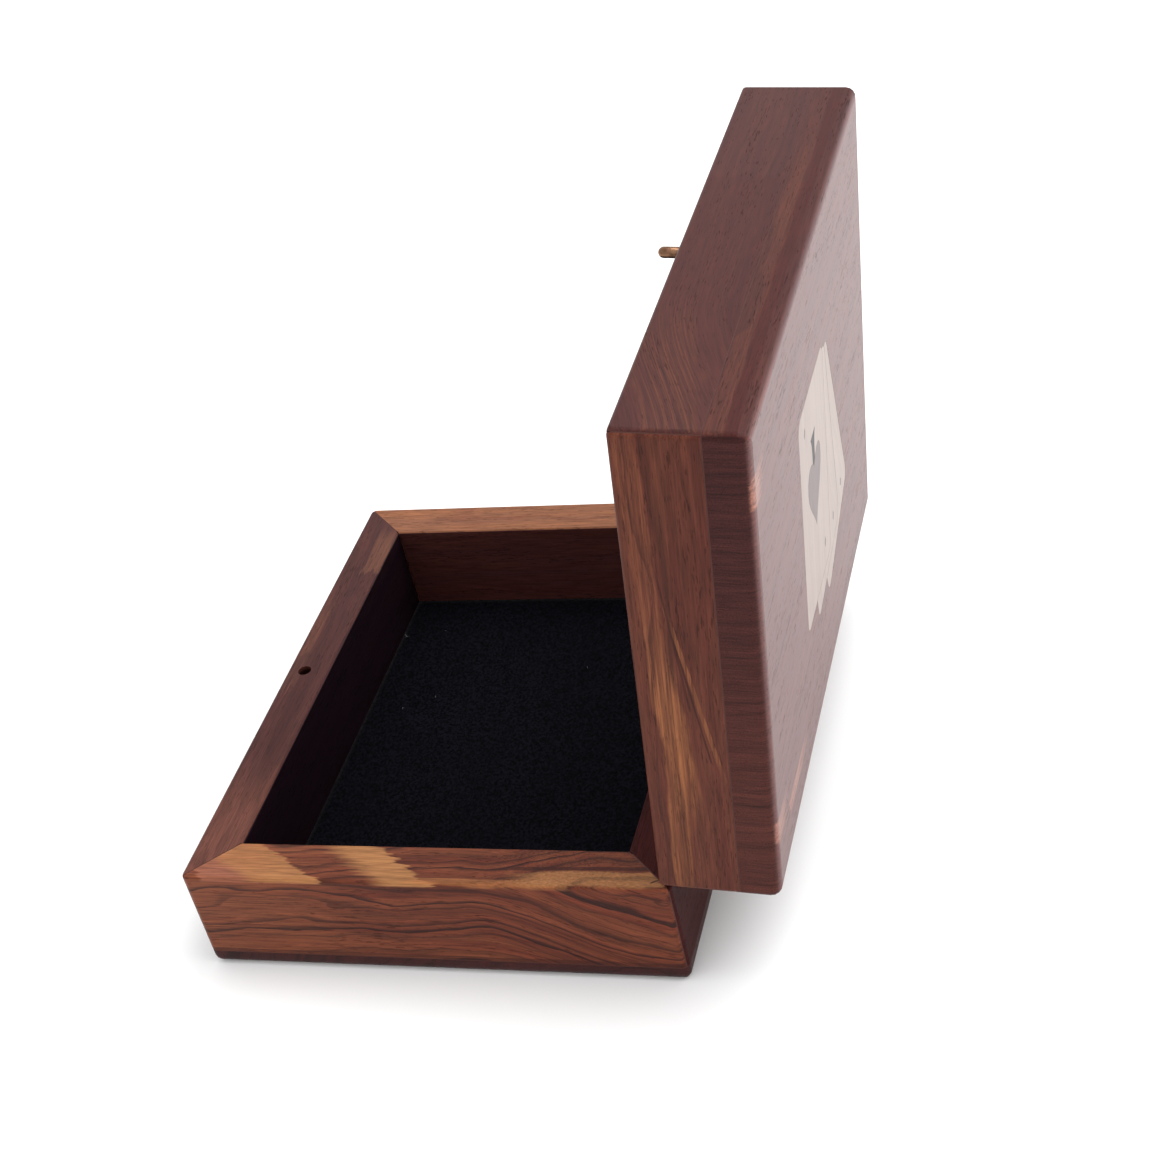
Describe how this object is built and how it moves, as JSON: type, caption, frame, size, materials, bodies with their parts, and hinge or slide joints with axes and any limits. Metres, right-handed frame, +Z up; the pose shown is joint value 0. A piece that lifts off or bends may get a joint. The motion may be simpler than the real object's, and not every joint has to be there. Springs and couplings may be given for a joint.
{
  "type": "playing card box",
  "caption": "Small hinged rosewood box for a deck of playing cards, standing open, with a velvet floor and an inlaid fan of cards on its lid.",
  "frame": {"origin": "centre of the flat underside of the base, on the surface that the box stands on", "axes": "+Z up; +X along the box, to the right as seen from the front; the front, with the pin's hole, faces -Y and the hinges are at +Y"},
  "size_m": [0.112, 0.1168, 0.112],
  "materials": {
    "rosewood": "satin",
    "rosewood_top": "satin",
    "velvet": "matt pile",
    "brass": "satin",
    "pale_inlay": "satin",
    "grey_inlay": "satin",
    "dark_inlay": "satin"
  },
  "bodies": {
    "base": {"base_front_board": "rosewood", "base_hinge_board": "rosewood", "base_left_end_board": "rosewood", "base_right_end_board": "rosewood", "base_bottom_panel": "rosewood", "velvet_lining": "velvet", "base_leaf_left": "brass", "base_leaf_right": "brass", "base_screw_left_1": "brass", "base_screw_left_2": "brass", "base_screw_right_1": "brass", "base_screw_right_2": "brass", "hinge_pin_left": "brass", "hinge_pin_right": "brass"},
    "lid": {"lid_front_board": "rosewood", "lid_hinge_board": "rosewood", "lid_left_end_board": "rosewood", "lid_right_end_board": "rosewood", "lid_top_panel": "rosewood_top", "front_card_inlay": "pale_inlay", "middle_card_inlay": "pale_inlay", "back_card_inlay": "pale_inlay", "spade_inlay": "grey_inlay", "spade_stem_inlay": "dark_inlay", "catch_pin": "brass", "lid_leaf_left": "brass", "lid_leaf_right": "brass", "lid_screw_left_1": "brass", "lid_screw_left_2": "brass", "lid_screw_right_1": "brass", "lid_screw_right_2": "brass"}
  },
  "joints": [
    {"name": "lid_hinge", "type": "hinge", "parent": "base", "child": "lid", "pos_m": [0, 0.0442, 0.0232], "axis": [1, 0, 0], "range_deg": [0, 95.4]}
  ]
}
